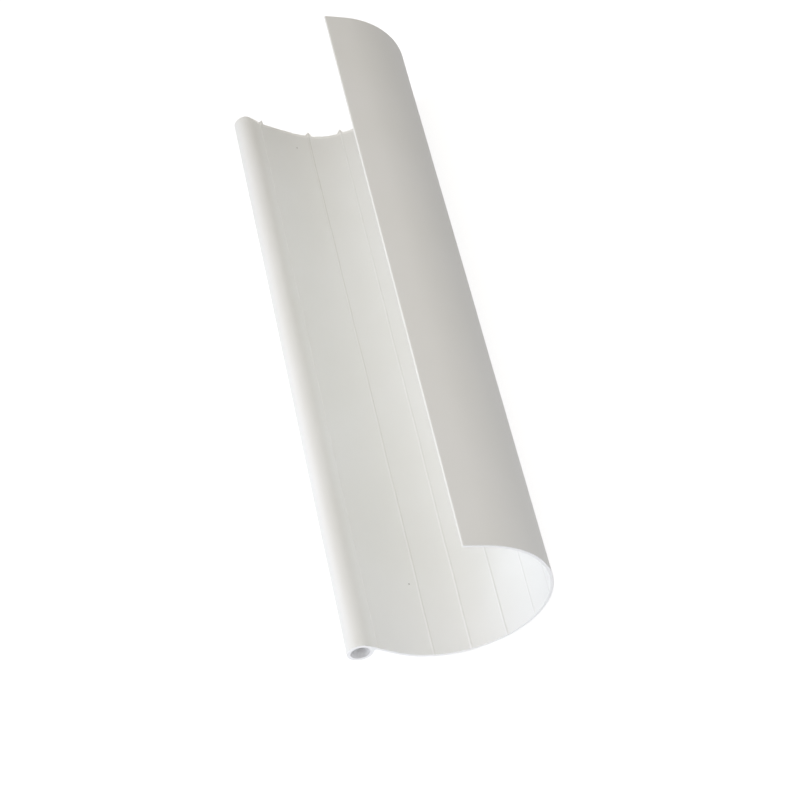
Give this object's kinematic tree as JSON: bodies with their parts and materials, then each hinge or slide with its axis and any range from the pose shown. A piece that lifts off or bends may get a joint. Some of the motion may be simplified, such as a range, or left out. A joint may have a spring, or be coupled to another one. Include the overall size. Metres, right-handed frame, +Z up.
{
  "type": "gutter section",
  "caption": "Short sawn length of half-round white plastic roof gutter, with a hollow round bead along its front edge and a plain straight lip along its back edge.",
  "frame": {"origin": "on the floor, under the middle of the gutter's box as it lies at rest", "axes": "+Y along the gutter, -X the side of the bead, +Z up; the gutter lies on its round bottom, rolled towards the bead, so its mouth faces up and to -X"},
  "size_m": [0.1508, 0.5, 0.1262],
  "materials": {
    "white_pvc": "satin, as extruded"
  },
  "bodies": {
    "root": {"gutter_section": "white_pvc"}
  },
  "joints": []
}
